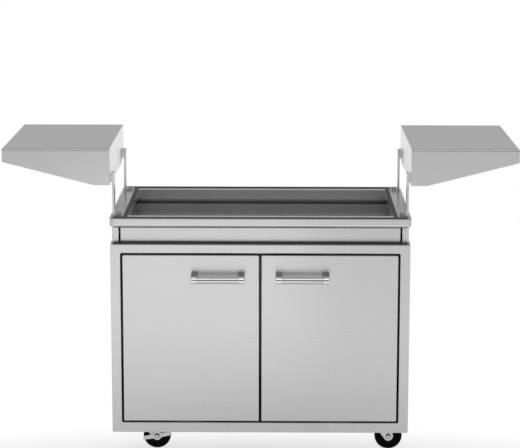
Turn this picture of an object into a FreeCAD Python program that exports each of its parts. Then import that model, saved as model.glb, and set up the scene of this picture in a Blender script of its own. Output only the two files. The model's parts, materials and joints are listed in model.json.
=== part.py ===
import FreeCAD, Part
import math
import os

# A grill base on casters: a two-door cabinet under a rim that carries a grill, with a pull-out drip tray
# between them and a folding shelf at each side. Millimetres, +Z up, and the front faces -Y.
# Shapes are drawn with y counted from the cabinet's face and moved when they are saved, so that the origin
# lies on the ground under the middle of the whole object.

# Sheet metal and fits
SHEET = 1.5
HEAVY_SHEET = 2.0
BEND = 2.0
RUNNING_FIT = 0.05
SMALL_GAP = 0.3

# Cabinet
CABINET_WIDTH = 876.0
CABINET_DEPTH = 560.0
CABINET_HEIGHT = 568.0
SKIRT_CLEARANCE = 70.5
PANEL_FLANGE = 20.0
FLOOR_LIP = 15.0
TOP_FRAME_SIDE = 80.0
TOP_FRAME_FRONT = 68.0
TOP_FRAME_BACK = 60.0

# Vent slots
VENT_LENGTH = 90.0
VENT_HEIGHT = 8.0
VENT_PITCH = 20.0
VENT_ROWS = 5
VENT_RISE = 70.0
BACK_VENT_FROM_SIDE = 200.0

# Face frame
STILE_WIDTH = 29.0
BOTTOM_RAIL = 30.1
TOP_RAIL = 26.0
FRAME_DEPTH = 22.0
SKIRT_RETURN = 12.0
CATCH_RAIL_DEPTH = 24.0
FRAME_CORNER = 4.0
OPENING_CORNER = 5.0

# Doors and their pivots
DOOR_GAP = 5.7
DOOR_BOTTOM_GAP = 5.0
MEETING_GAP = 6.8
DOOR_THICKNESS = 20.0
DOOR_CORNER = 3.0
LINER_GAP = 0.2
PIVOT_INSET = 8.0
PIN_DIAMETER = 8.0
PIN_GRIP = 30.0
PIN_END = 3.0
BUSH_WALL = 2.0
BUSH_FLANGE_DIAMETER = 17.0
BUSH_FLANGE = 3.0
SHOULDER_DIAMETER = 14.0
CATCH_LENGTH = 44.0
CATCH_HEIGHT = 18.0
CATCH_OFFSET = 12.0
STRIKER_LENGTH = 36.0
STRIKER_HEIGHT = 10.0

# Door handles
HANDLE_LENGTH = 156.5
HANDLE_FROM_CENTRE = 45.3
HANDLE_DROP = 65.7
HANDLE_STANDOFF = 44.0
BAR_DIAMETER = 20.8
COLLAR_DIAMETER = 23.0
COLLAR_LENGTH = 19.0
COLLAR_ROUNDING = 3.0
POST_WIDTH = 17.8
POST_HEIGHT = 20.0
POST_FOOT_HEIGHT = 33.8
SPIGOT_DIAMETER = 14.0
SPIGOT_LENGTH = 10.0
HANDLE_SCREW = 5.0
HANDLE_SCREW_GRIP = 12.0
HANDLE_SCREW_HEAD = 9.0
HANDLE_SCREW_HEAD_HEIGHT = 3.0

# Neck, rim and seals
LEDGE_SEAL_THICKNESS = 2.2
LEDGE_SEAL_WIDTH = 28.0
LEDGE_SEAL_SIDE = 10.0
LEDGE_SEAL_FRONT = 3.0
NECK_SIDE_SET_BACK = 3.8
NECK_SET_BACK = 24.0
NECK_HEIGHT = 44.8
NECK_STRIP = 19.0
RIM_OVERHANG = 3.2
RIM_SET_BACK = 4.0
RIM_HEIGHT = 29.0
RIM_RAIL = 50.0
RIM_LIP = 26.0
RIM_CORNER = 14.0
RIM_TOP_ROUNDING = 2.5
RIM_BOTTOM_ROUNDING = 12.0
GRILL_SEAL_THICKNESS = 3.0
GRILL_SEAL_WIDTH = 10.0
GRILL_SEAL_FRONT = 4.0
GRILL_SEAL_SIDE = 12.0
HOLD_DOWN_HOLE = 6.6
HOLD_DOWN_INSET = 40.0
HOLD_DOWN_FROM_END = 141.2

# Drip tray
TRAY_END_GAP = 5.0
TRAY_EDGE_GAP = 0.7
TRAY_RECESS = 2.0
TRAY_FRONT_FOLD = 14.0
TRAY_PAN_INSET = 14.0
TRAY_PAN_HEIGHT = 24.0
TRAY_PAN_DROP = 15.0
TRAY_WING_GAP = 3.0
TRAY_REAR_GAP = 12.0
RUNNER_HEIGHT = 16.0
RUNNER_PAN_GAP = 4.5
RUNNER_START = 2.0

# Side shelves
SHELF_RISE = 203.5
SHELF_REACH = 315.0
SHELF_DEPTH = 520.0
SHELF_SET_BACK = 20.0
SHELF_LIP = 40.0
SHELF_ROOT = 108.0
SHELF_ROOT_FLAT = 47.0
SHELF_BEND = 6.5
ROD_DIAMETER = 12.0
ROD_FROM_END = 25.0
ROD_FROM_BOTTOM = 20.0
ROD_END_GAP = 2.5
CHEEK_GAP = 6.5
CHEEK_THICKNESS = 3.0
CHEEK_RADIUS = 14.0
ROOT_WEB_WIDTH = 60.0
NOTCH_MARGIN = 2.0
BRACE_WIDTH = 40.0
BRACE_HEIGHT = 18.0
BRACE_GAP = 14.0

# Uprights that carry the shelves
UPRIGHT_INSET = 8.0
UPRIGHT_THICKNESS = 6.0
UPRIGHT_DEPTH = 40.0
EAR_GAP = 3.0
EAR_RADIUS = 14.0
FOOT_WIDTH = 28.0
FOOT_THICKNESS = 5.0
UPRIGHT_BOLT = 6.0
UPRIGHT_BOLT_HEX = 10.0
UPRIGHT_BOLT_HEAD = 4.0
UPRIGHT_BOLT_NUT = 5.0
UPRIGHT_BOLT_SPACING = 24.0

# Casters
WHEEL_DIAMETER = 82.0
WHEEL_WIDTH = 26.0
WHEEL_ROUNDING = 6.0
WHEEL_RECESS_OUTER = 62.0
WHEEL_RECESS_INNER = 36.0
WHEEL_RECESS_DEPTH = 3.0
HUB_DIAMETER = 26.0
AXLE_DIAMETER = 10.0
AXLE_HEAD_DIAMETER = 15.0
AXLE_HEAD_HEIGHT = 6.0
AXLE_HEAD_ROUNDING = 4.0
AXLE_HEX = 14.0
AXLE_HEX_HEIGHT = 6.0
CASTER_TRAIL = 37.2
CASTER_FROM_SIDE = 91.0
CASTER_FROM_FACE = 84.0
FORK_GAP = 30.0
FORK_PLATE = 3.0
FORK_END_RADIUS = 14.0
FORK_TAIL = 16.0
FORK_NOSE = 6.0
FORK_LEAN_DEG = 35.0
CROWN_GAP = 3.0
RACE_DIAMETER = 46.0
RACE_HEIGHT = 4.7
KINGPIN_DIAMETER = 12.0
KINGPIN_HEAD_DIAMETER = 20.0
KINGPIN_HEAD = 4.0
CASTER_PLATE = 80.0
CASTER_PLATE_THICKNESS = 3.0
CASTER_BOLT = 8.0
CASTER_BOLT_HOLE = 8.6
CASTER_BOLT_HEX = 13.0
CASTER_BOLT_HEAD = 5.3
CASTER_BOLT_NUT = 4.0
CASTER_BOLT_SPACING = 58.0

# Brake levers
BRAKED_CASTERS = ("front_left", "rear_right")
LEVER_THICKNESS = 4.0
LEVER_BOSS = 26.0
LEVER_ARM = 41.0
LEVER_ARM_RISE = 7.0
LEVER_ARM_WIDTH = 10.0
LEVER_ROOT_WIDTH = 15.0

# Ring that keeps a gas cylinder in place
RING_BORE = 212.0
RING_WALL = 2.0
RING_HEIGHT = 25.0
RING_FROM_SIDE = 240.0
RING_FROM_BACK = 260.0

# Overrun of a cut past the face that it opens, and the distance at which two places count as one
OVER = 1.0
SAME_PLACE = 1e-6

HEX_SIDES = 6

# Places worked out from the sizes above
HALF_WIDTH = CABINET_WIDTH / 2
LEDGE = SKIRT_CLEARANCE + CABINET_HEIGHT
OPENING_HALF = HALF_WIDTH - STILE_WIDTH
OPENING_BOTTOM = SKIRT_CLEARANCE + BOTTOM_RAIL
OPENING_TOP = LEDGE - TOP_RAIL
DOOR_OUTER = OPENING_HALF - DOOR_GAP
DOOR_INNER = MEETING_GAP / 2
DOOR_BOTTOM = OPENING_BOTTOM + DOOR_BOTTOM_GAP
DOOR_TOP = OPENING_TOP - DOOR_GAP
PIVOT_X = DOOR_OUTER - PIVOT_INSET
PIVOT_Y = DOOR_THICKNESS / 2
BUSH_DIAMETER = PIN_DIAMETER + 2 * (RUNNING_FIT + BUSH_WALL)
HANDLE_Z = DOOR_TOP - HANDLE_DROP
HANDLE_REACH = HANDLE_STANDOFF + COLLAR_DIAMETER / 2
FACE_Y = (HANDLE_REACH - CABINET_DEPTH) / 2

NECK_BOTTOM = LEDGE + LEDGE_SEAL_THICKNESS
NECK_TOP = NECK_BOTTOM + NECK_HEIGHT
NECK_HALF = HALF_WIDTH - NECK_SIDE_SET_BACK
NECK_BACK = CABINET_DEPTH - NECK_SET_BACK
RIM_HALF = HALF_WIDTH + RIM_OVERHANG
RIM_BACK = CABINET_DEPTH - RIM_SET_BACK
RIM_TOP = NECK_TOP + RIM_HEIGHT

TRAY_FACE = NECK_SET_BACK + TRAY_RECESS
TRAY_FRONT_HALF = NECK_HALF - NECK_STRIP - TRAY_END_GAP
TRAY_HALF = TRAY_FRONT_HALF - TRAY_PAN_INSET
TRAY_TOP = NECK_TOP - TRAY_PAN_DROP
TRAY_BACK = NECK_BACK - NECK_STRIP - TRAY_REAR_GAP
RUNNER_FRONT = TRAY_FACE + TRAY_FRONT_FOLD + RUNNER_START

SHELF_TOP = RIM_TOP + SHELF_RISE
SHELF_FRONT = SHELF_SET_BACK
SHELF_BACK = SHELF_SET_BACK + SHELF_DEPTH
SHELF_MIDDLE = (SHELF_FRONT + SHELF_BACK) / 2
SHELF_END = HALF_WIDTH + SHELF_REACH
ROD_X = HALF_WIDTH + ROD_FROM_END
ROD_Z = SHELF_TOP - SHELF_ROOT + ROD_FROM_BOTTOM
CHEEK_Y = SHELF_FRONT + SHEET + CHEEK_GAP
EAR_Y = CHEEK_Y + CHEEK_THICKNESS + EAR_GAP
UPRIGHT_X = RIM_HALF - UPRIGHT_INSET

AXLE_Z = WHEEL_DIAMETER / 2
CROWN_BOTTOM = WHEEL_DIAMETER + CROWN_GAP
CROWN_TOP = CROWN_BOTTOM + FORK_PLATE
RACE_BOTTOM = CROWN_TOP + SMALL_GAP
PLATE_BOTTOM = RACE_BOTTOM + RACE_HEIGHT
FLOOR_BOTTOM = PLATE_BOTTOM + CASTER_PLATE_THICKNESS
FLOOR_TOP = FLOOR_BOTTOM + HEAVY_SHEET
CASTER_X = HALF_WIDTH - CASTER_FROM_SIDE
CASTER_FRONT_Y = CASTER_FROM_FACE
CASTER_REAR_Y = CABINET_DEPTH - CASTER_FROM_FACE
FORK_HALF = FORK_GAP / 2 + FORK_PLATE


# Basic shapes

ALONG_X, ALONG_Y, ALONG_Z = FreeCAD.Vector(1, 0, 0), FreeCAD.Vector(0, 1, 0), FreeCAD.Vector(0, 0, 1)


def box(x0, x1, y0, y1, z0, z1):
    """A block between two corners."""
    return Part.makeBox(x1 - x0, y1 - y0, z1 - z0, FreeCAD.Vector(x0, y0, z0))


def rod(diameter, start, end):
    """A round bar from one point to another."""
    start, end = FreeCAD.Vector(*start), FreeCAD.Vector(*end)
    return Part.makeCylinder(diameter / 2, start.distanceToPoint(end), start, end - start)


def hexagon(across_flats, start, end):
    """A six-sided bar from one point to another."""
    start, end = FreeCAD.Vector(*start), FreeCAD.Vector(*end)
    radius = across_flats / math.sqrt(3)
    turns = [2 * math.pi * side / HEX_SIDES for side in range(HEX_SIDES)]
    corners = [FreeCAD.Vector(radius * math.cos(turn), radius * math.sin(turn), 0) for turn in turns]
    outline = Part.makePolygon(corners + corners[:1])
    bar = Part.Face(outline).extrude(ALONG_Z * start.distanceToPoint(end))
    bar.Placement = FreeCAD.Placement(start, FreeCAD.Rotation(ALONG_Z, end - start))
    return bar


def plate_xz(outline, y0, y1):
    """A flat plate with an outline of (x, z) corners, between two y planes."""
    corners = [FreeCAD.Vector(x, y0, z) for x, z in outline]
    return Part.Face(Part.makePolygon(corners + corners[:1])).extrude(FreeCAD.Vector(0, y1 - y0, 0))


def plate_yz(outline, x0, x1):
    """A flat plate with an outline of (y, z) corners, between two x planes."""
    corners = [FreeCAD.Vector(x0, y, z) for y, z in outline]
    return Part.Face(Part.makePolygon(corners + corners[:1])).extrude(FreeCAD.Vector(x1 - x0, 0, 0))


def slot(length, height, start, end):
    """A cutter for a level slot with round ends, from one point through to another."""
    start, end = FreeCAD.Vector(*start), FreeCAD.Vector(*end)
    through = end - start
    along = through.cross(ALONG_Z).normalize() * ((length - height) / 2)
    up = ALONG_Z * (height / 2)
    corners = [start - along - up, start + along - up, start + along + up, start - along + up]
    middle = Part.Face(Part.makePolygon(corners + corners[:1])).extrude(through)
    ends = [Part.makeCylinder(height / 2, through.Length, start + side, through) for side in (along, -along)]
    return middle.fuse(ends).removeSplitter()


def edges_at(edges, axis, value):
    """Those of some edges that lie in the plane where x, y or z has this value."""
    return [edge for edge in edges
            if all(abs(getattr(vertex.Point, axis) - value) < SAME_PLACE for vertex in edge.Vertexes)]


def edges_along(edges, direction):
    """Those of some edges that run along a direction."""
    return [edge for edge in edges
            if edge.tangentAt(edge.FirstParameter).cross(direction).Length < SAME_PLACE]


def pivot_point(z, side=1):
    """A point on the axis that the right door turns on, or the left one."""
    return (side * PIVOT_X, PIVOT_Y, z)


def mirrored(shape):
    """The same piece for the left side."""
    return shape.mirror(FreeCAD.Vector(), ALONG_X)


def save(name, *pieces):
    """Write one piece, or a group of alike pieces, moved so that the origin is under the object's middle."""
    solids = [solid.copy() for piece in pieces for solid in piece.Solids]
    shape = solids[0] if len(solids) == 1 else Part.makeCompound(solids)
    shape.translate(FreeCAD.Vector(0, FACE_Y, 0))
    shape.exportStep(f"parts/{name}.step")
    print(f"{name:24s} solids {len(solids):2d} volume {shape.Volume / 1000:9.1f} cm3 valid {shape.isValid()}")


def save_pair(name, piece):
    """Write a right-hand piece and its mirror image for the left side."""
    save(f"right_{name}", piece)
    save(f"left_{name}", mirrored(piece))


# Cabinet

def face_frame():
    """Folded front frame: a channel round the door opening with a skirt below it."""
    frame = box(-HALF_WIDTH, HALF_WIDTH, 0, FRAME_DEPTH, SKIRT_CLEARANCE, LEDGE)
    frame = frame.makeFillet(FRAME_CORNER, edges_along(frame.Edges, ALONG_Y))
    opening = box(-OPENING_HALF, OPENING_HALF, -OVER, FRAME_DEPTH + OVER, OPENING_BOTTOM, OPENING_TOP)
    opening = opening.makeFillet(OPENING_CORNER, edges_along(opening.Edges, ALONG_Y))
    frame = frame.cut(opening)
    frame = frame.makeFillet(BEND, edges_at(frame.Edges, "y", 0))
    inside = HALF_WIDTH - HEAVY_SHEET
    lining_top, lining_bottom = OPENING_TOP + HEAVY_SHEET, OPENING_BOTTOM - HEAVY_SHEET
    channel = box(-inside, inside, HEAVY_SHEET, FRAME_DEPTH + OVER,
                  SKIRT_CLEARANCE + HEAVY_SHEET, LEDGE - HEAVY_SHEET)
    lining = box(-OPENING_HALF - HEAVY_SHEET, OPENING_HALF + HEAVY_SHEET, 0, FRAME_DEPTH + OVER,
                 lining_bottom, lining_top)
    skirt_space = box(-inside, inside, SKIRT_RETURN, FRAME_DEPTH + OVER,
                      SKIRT_CLEARANCE - OVER, lining_bottom)
    frame = frame.cut(channel.cut(lining)).cut(skirt_space)
    for side in (-1, 1):
        frame = frame.cut(rod(BUSH_DIAMETER + 2 * RUNNING_FIT, pivot_point(lining_bottom - OVER, side),
                              pivot_point(lining_top + OVER, side)))
    return frame


def catch_rail():
    """Strip behind the top of the frame, level with the top of its opening, that carries the door catches."""
    return box(-OPENING_HALF, OPENING_HALF, FRAME_DEPTH + SMALL_GAP, FRAME_DEPTH + CATCH_RAIL_DEPTH,
               OPENING_TOP, OPENING_TOP + HEAVY_SHEET)


def vent_levels():
    """The heights of the rows of vent slots."""
    return [FLOOR_TOP + VENT_RISE + row * VENT_PITCH for row in range(VENT_ROWS)]


def side_panel():
    """Right side sheet, folded inwards along its four edges, with low vent slots."""
    front, back, top = FRAME_DEPTH, CABINET_DEPTH - SHEET, LEDGE - HEAVY_SHEET
    panel = box(HALF_WIDTH - PANEL_FLANGE, HALF_WIDTH, front, back, SKIRT_CLEARANCE, top)
    panel = panel.cut(box(HALF_WIDTH - PANEL_FLANGE - OVER, HALF_WIDTH - SHEET, front + SHEET, back - SHEET,
                          SKIRT_CLEARANCE + SHEET, top - SHEET))
    middle = CABINET_DEPTH / 2
    for level in vent_levels():
        panel = panel.cut(slot(VENT_LENGTH, VENT_HEIGHT, (HALF_WIDTH - SHEET - OVER, middle, level),
                               (HALF_WIDTH + OVER, middle, level)))
    return panel


def back_panel():
    """Flat sheet over the back, with two groups of vent slots."""
    inner = CABINET_DEPTH - SHEET
    panel = box(-HALF_WIDTH, HALF_WIDTH, inner, CABINET_DEPTH, SKIRT_CLEARANCE, LEDGE - HEAVY_SHEET)
    for x in (BACK_VENT_FROM_SIDE - HALF_WIDTH, HALF_WIDTH - BACK_VENT_FROM_SIDE):
        for level in vent_levels():
            panel = panel.cut(slot(VENT_LENGTH, VENT_HEIGHT, (x, inner - OVER, level),
                                   (x, CABINET_DEPTH + OVER, level)))
    return panel


def caster_places():
    """The swivel axes of the four casters, by name."""
    return {"front_left": (-CASTER_X, CASTER_FRONT_Y), "front_right": (CASTER_X, CASTER_FRONT_Y),
            "rear_left": (-CASTER_X, CASTER_REAR_Y), "rear_right": (CASTER_X, CASTER_REAR_Y)}


def caster_bolt_places(x, y):
    """The four bolts round one swivel axis."""
    half = CASTER_BOLT_SPACING / 2
    return [(x + right * half, y + back * half) for right in (-1, 1) for back in (-1, 1)]


def floor_pan():
    """Floor sheet with its sides turned down, drilled for the caster bolts."""
    half, front, back = HALF_WIDTH - SHEET, FRAME_DEPTH + SHEET, CABINET_DEPTH - 2 * SHEET
    pan = box(-half, half, front, back, FLOOR_BOTTOM - FLOOR_LIP, FLOOR_TOP)
    pan = pan.cut(box(-half + HEAVY_SHEET, half - HEAVY_SHEET, front - OVER, back + OVER,
                      FLOOR_BOTTOM - FLOOR_LIP - OVER, FLOOR_BOTTOM))
    for place in caster_places().values():
        for x, y in caster_bolt_places(*place):
            pan = pan.cut(rod(CASTER_BOLT_HOLE, (x, y, FLOOR_BOTTOM - OVER), (x, y, FLOOR_TOP + OVER)))
    return pan


def top_frame():
    """Flat frame that closes the cabinet's top round a wide opening."""
    frame = box(-HALF_WIDTH, HALF_WIDTH, FRAME_DEPTH, CABINET_DEPTH, LEDGE - HEAVY_SHEET, LEDGE)
    half = HALF_WIDTH - TOP_FRAME_SIDE
    return frame.cut(box(-half, half, FRAME_DEPTH + TOP_FRAME_FRONT, CABINET_DEPTH - TOP_FRAME_BACK,
                         LEDGE - HEAVY_SHEET - OVER, LEDGE + OVER))


def ledge_seal():
    """Black seal that lies on the ledge, in front of the neck and under it."""
    half, front, back = HALF_WIDTH - LEDGE_SEAL_SIDE, LEDGE_SEAL_FRONT, CABINET_DEPTH - LEDGE_SEAL_FRONT
    seal = box(-half, half, front, back, LEDGE, NECK_BOTTOM)
    return seal.cut(box(-half + LEDGE_SEAL_WIDTH, half - LEDGE_SEAL_WIDTH, front + LEDGE_SEAL_WIDTH,
                        back - LEDGE_SEAL_WIDTH, LEDGE - OVER, NECK_BOTTOM + OVER))


def cylinder_ring():
    """Upright ring on the floor that keeps a gas cylinder in place."""
    foot = (RING_FROM_SIDE - HALF_WIDTH, CABINET_DEPTH - RING_FROM_BACK, FLOOR_TOP)
    head = (foot[0], foot[1], FLOOR_TOP + RING_HEIGHT)
    return rod(RING_BORE + 2 * RING_WALL, foot, head).cut(rod(RING_BORE, foot, head))


# Neck, rim and drip tray

def neck_side():
    """Right side of the neck, folded inwards; its front fold is the strip beside the drip tray."""
    side = box(NECK_HALF - NECK_STRIP, NECK_HALF, NECK_SET_BACK, NECK_BACK, NECK_BOTTOM, NECK_TOP)
    side = side.makeFillet(BEND, edges_along(edges_at(side.Edges, "x", NECK_HALF), ALONG_Z))
    return side.cut(box(NECK_HALF - NECK_STRIP - OVER, NECK_HALF - SHEET, NECK_SET_BACK + SHEET,
                        NECK_BACK - SHEET, NECK_BOTTOM + SHEET, NECK_TOP - SHEET))


def neck_back():
    """Back of the neck, a channel between the two sides."""
    half = NECK_HALF - NECK_STRIP
    back = box(-half, half, NECK_BACK - NECK_STRIP, NECK_BACK, NECK_BOTTOM, NECK_TOP)
    return back.cut(box(-half - OVER, half + OVER, NECK_BACK - NECK_STRIP - OVER, NECK_BACK - SHEET,
                        NECK_BOTTOM + SHEET, NECK_TOP - SHEET))


def rounded_block(inset):
    """The rim's rounded outside, or its hollow when set in from it by a wall."""
    low, high = NECK_TOP + inset, RIM_TOP - inset
    half = RIM_HALF - inset
    block = box(-half, half, RIM_SET_BACK + inset, RIM_BACK - inset, low, high)
    block = block.makeFillet(RIM_CORNER - inset, edges_along(block.Edges, ALONG_Z))
    block = block.makeFillet(RIM_TOP_ROUNDING - inset, edges_at(block.Edges, "z", high))
    return block.makeFillet(RIM_BOTTOM_ROUNDING - inset, edges_at(block.Edges, "z", low))


def rim_window(margin, low, high):
    """The rim's inner opening, widened or narrowed by a margin, between two levels."""
    half = RIM_HALF - RIM_RAIL + margin
    return box(-half, half, RIM_SET_BACK + RIM_RAIL - margin, RIM_BACK - RIM_RAIL + margin, low, high)


def rim():
    """Rolled rim round the grill opening, open below inside its lip, with holes to hold a grill down."""
    window = rim_window(0, NECK_TOP - OVER, RIM_TOP + OVER)
    wall = rim_window(HEAVY_SHEET, NECK_TOP - OVER, RIM_TOP + OVER)
    mouth = rim_window(RIM_RAIL - RIM_LIP, NECK_TOP - OVER, NECK_TOP + HEAVY_SHEET).cut(wall)
    ring = rounded_block(0).cut(window).cut(rounded_block(HEAVY_SHEET).cut(wall)).cut(mouth)
    under, over = RIM_TOP - HEAVY_SHEET - OVER, RIM_TOP + OVER
    for x in (HOLD_DOWN_FROM_END - RIM_HALF, RIM_HALF - HOLD_DOWN_FROM_END):
        for y in (RIM_SET_BACK + HOLD_DOWN_INSET, RIM_BACK - HOLD_DOWN_INSET):
            ring = ring.cut(rod(HOLD_DOWN_HOLE, (x, y, under), (x, y, over)))
    for side in (-1, 1):
        for x, y in upright_bolt_places(side):
            ring = ring.cut(rod(UPRIGHT_BOLT + 2 * SMALL_GAP, (x, y, under), (x, y, over)))
    return ring


def grill_seal():
    """Black seal on the rim that a grill sits on."""
    half = RIM_HALF - GRILL_SEAL_SIDE
    inner = RIM_HALF - RIM_RAIL + GRILL_SEAL_WIDTH
    front, back = RIM_SET_BACK + GRILL_SEAL_FRONT, RIM_BACK - GRILL_SEAL_FRONT
    top = RIM_TOP + GRILL_SEAL_THICKNESS
    seal = box(-inner, inner, front, back, RIM_TOP, top)
    for start in (front, back - GRILL_SEAL_WIDTH):
        seal = seal.fuse(box(-half, half, start, start + GRILL_SEAL_WIDTH, RIM_TOP, top))
    middle = inner - GRILL_SEAL_WIDTH
    seal = seal.cut(box(-middle, middle, front + GRILL_SEAL_WIDTH, back - GRILL_SEAL_WIDTH,
                        RIM_TOP - OVER, top + OVER))
    return seal.removeSplitter()


def tray_front():
    """Front of the drip tray: a sheet folded back along its edges."""
    half, low, high = TRAY_FRONT_HALF, NECK_BOTTOM + TRAY_EDGE_GAP, NECK_TOP - TRAY_EDGE_GAP
    front = box(-half, half, TRAY_FACE, TRAY_FACE + TRAY_FRONT_FOLD, low, high)
    front = front.makeFillet(BEND, edges_at(front.Edges, "y", TRAY_FACE))
    return front.cut(box(-half + SHEET, half - SHEET, TRAY_FACE + SHEET, TRAY_FACE + TRAY_FRONT_FOLD + OVER,
                         low + SHEET, high - SHEET))


def tray_pan():
    """Drip pan with a flange at each side that rides on the runners."""
    front, low = TRAY_FACE + SHEET, TRAY_TOP - TRAY_PAN_HEIGHT
    pan = box(-TRAY_HALF, TRAY_HALF, front, TRAY_BACK, low, TRAY_TOP)
    wing = NECK_HALF - NECK_STRIP - TRAY_WING_GAP
    pan = pan.fuse(box(-wing, wing, RUNNER_FRONT, TRAY_BACK, TRAY_TOP - SHEET, TRAY_TOP))
    return pan.cut(box(-TRAY_HALF + SHEET, TRAY_HALF - SHEET, front + SHEET, TRAY_BACK - SHEET,
                       low + SHEET, TRAY_TOP + OVER)).removeSplitter()


def tray_runner():
    """Right runner: an angle on the neck's side, just under the tray's flange."""
    inner, outer = TRAY_HALF + RUNNER_PAN_GAP, NECK_HALF - SHEET
    top = TRAY_TOP - SHEET - SMALL_GAP
    runner = box(inner, outer, RUNNER_FRONT, TRAY_BACK, top - RUNNER_HEIGHT, top)
    return runner.cut(box(inner - OVER, outer - SHEET, RUNNER_FRONT - OVER, TRAY_BACK + OVER,
                          top - RUNNER_HEIGHT - OVER, top - SHEET))


# Doors and handles

def handle_post_places():
    """Where the two posts of the right handle start along x."""
    return (HANDLE_FROM_CENTRE, HANDLE_FROM_CENTRE + HANDLE_LENGTH - COLLAR_LENGTH)


def door_skin():
    """Right door's outside: a sheet folded back along its edges."""
    skin = box(DOOR_INNER, DOOR_OUTER, 0, DOOR_THICKNESS, DOOR_BOTTOM, DOOR_TOP)
    skin = skin.makeFillet(DOOR_CORNER, edges_along(skin.Edges, ALONG_Y))
    skin = skin.makeFillet(BEND, edges_at(skin.Edges, "y", 0))
    skin = skin.cut(box(DOOR_INNER + SHEET, DOOR_OUTER - SHEET, SHEET, DOOR_THICKNESS + OVER,
                        DOOR_BOTTOM + SHEET, DOOR_TOP - SHEET))
    skin = skin.cut(rod(PIN_DIAMETER + 2 * RUNNING_FIT, pivot_point(DOOR_BOTTOM - OVER),
                        pivot_point(DOOR_TOP + OVER)))
    for start in handle_post_places():
        middle = start + COLLAR_LENGTH / 2
        skin = skin.cut(rod(HANDLE_SCREW + 2 * SMALL_GAP, (middle, -OVER, HANDLE_Z),
                            (middle, SHEET + OVER, HANDLE_Z)))
    return skin


def door_liner():
    """Right door's inside sheet, set between the folds of the skin."""
    inset = SHEET + LINER_GAP
    return box(DOOR_INNER + inset, DOOR_OUTER - inset, DOOR_THICKNESS - SHEET, DOOR_THICKNESS,
               DOOR_BOTTOM + inset, DOOR_TOP - inset)


def handle_bar():
    """Round grip with a spigot at each end that sits in a collar."""
    start, end = HANDLE_FROM_CENTRE + COLLAR_LENGTH, HANDLE_FROM_CENTRE + HANDLE_LENGTH - COLLAR_LENGTH
    grip = rod(BAR_DIAMETER, (start, -HANDLE_STANDOFF, HANDLE_Z), (end, -HANDLE_STANDOFF, HANDLE_Z))
    return grip.fuse(rod(SPIGOT_DIAMETER, (start - SPIGOT_LENGTH, -HANDLE_STANDOFF, HANDLE_Z),
                         (end + SPIGOT_LENGTH, -HANDLE_STANDOFF, HANDLE_Z)))


def handle_posts():
    """The two posts of the right handle, which widen towards the door, each with a collar for the grip and a
    hole for its screw."""
    socket_gap = SMALL_GAP + SPIGOT_LENGTH
    grip_start = HANDLE_FROM_CENTRE + COLLAR_LENGTH
    grip_end = HANDLE_FROM_CENTRE + HANDLE_LENGTH - COLLAR_LENGTH
    socket = rod(SPIGOT_DIAMETER + 2 * RUNNING_FIT, (grip_start - socket_gap, -HANDLE_STANDOFF, HANDLE_Z),
                 (grip_end + socket_gap, -HANDLE_STANDOFF, HANDLE_Z))
    foot, head = POST_FOOT_HEIGHT / 2, POST_HEIGHT / 2
    profile = [(0, HANDLE_Z - foot), (0, HANDLE_Z + foot),
               (-HANDLE_STANDOFF, HANDLE_Z + head), (-HANDLE_STANDOFF, HANDLE_Z - head)]
    posts = []
    for start in handle_post_places():
        end, middle = start + COLLAR_LENGTH, start + COLLAR_LENGTH / 2
        collar = rod(COLLAR_DIAMETER, (start, -HANDLE_STANDOFF, HANDLE_Z), (end, -HANDLE_STANDOFF, HANDLE_Z))
        ends = edges_at(collar.Edges, "x", start) + edges_at(collar.Edges, "x", end)
        collar = collar.makeFillet(COLLAR_ROUNDING, ends)
        post = plate_yz(profile, middle - POST_WIDTH / 2, middle + POST_WIDTH / 2)
        screw_hole = rod(HANDLE_SCREW + 2 * RUNNING_FIT, (middle, -HANDLE_SCREW_GRIP - OVER, HANDLE_Z),
                         (middle, OVER, HANDLE_Z))
        posts.append(collar.fuse(post).cut(socket).cut(screw_hole))
    return posts


def handle_screws():
    """The two screws that hold the right handle from inside the door."""
    screws = []
    for start in handle_post_places():
        middle = start + COLLAR_LENGTH / 2
        shank = rod(HANDLE_SCREW, (middle, -HANDLE_SCREW_GRIP, HANDLE_Z), (middle, SHEET, HANDLE_Z))
        head = rod(HANDLE_SCREW_HEAD, (middle, SHEET, HANDLE_Z),
                   (middle, SHEET + HANDLE_SCREW_HEAD_HEIGHT, HANDLE_Z))
        screws.append(shank.fuse(head))
    return screws


def hinge_pins():
    """Lower and upper pivot pins of the right door; the lower one has a shoulder that carries the door."""
    seat = OPENING_BOTTOM + BUSH_FLANGE + SMALL_GAP
    lower = rod(PIN_DIAMETER, pivot_point(OPENING_BOTTOM - HEAVY_SHEET - PIN_END),
                pivot_point(DOOR_BOTTOM + PIN_GRIP))
    shoulder = rod(SHOULDER_DIAMETER, pivot_point(seat), pivot_point(DOOR_BOTTOM))
    upper = rod(PIN_DIAMETER, pivot_point(DOOR_TOP - PIN_GRIP),
                pivot_point(OPENING_TOP + HEAVY_SHEET + PIN_END))
    return [lower.fuse(shoulder), upper]


def hinge_bushes():
    """Flanged bushes in the frame, one for each pivot pin."""
    bushes = []
    for side in (-1, 1):
        for sheet, inward in ((OPENING_BOTTOM, 1), (OPENING_TOP, -1)):
            face = pivot_point(sheet, side)
            flange_end = pivot_point(sheet + inward * BUSH_FLANGE, side)
            sleeve_end = pivot_point(sheet - inward * HEAVY_SHEET, side)
            flange = rod(BUSH_FLANGE_DIAMETER, face, flange_end)
            sleeve = rod(BUSH_DIAMETER, sleeve_end, face)
            bore = rod(PIN_DIAMETER + 2 * RUNNING_FIT, sleeve_end, flange_end)
            bushes.append(flange.fuse(sleeve).cut(bore))
    return bushes


def door_catch():
    """Right magnetic catch, under the rail behind the top of the door."""
    front = DOOR_THICKNESS + SHEET + SMALL_GAP
    return box(CATCH_OFFSET, CATCH_OFFSET + CATCH_LENGTH, front, FRAME_DEPTH + CATCH_RAIL_DEPTH,
               OPENING_TOP - CATCH_HEIGHT, OPENING_TOP)


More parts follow.
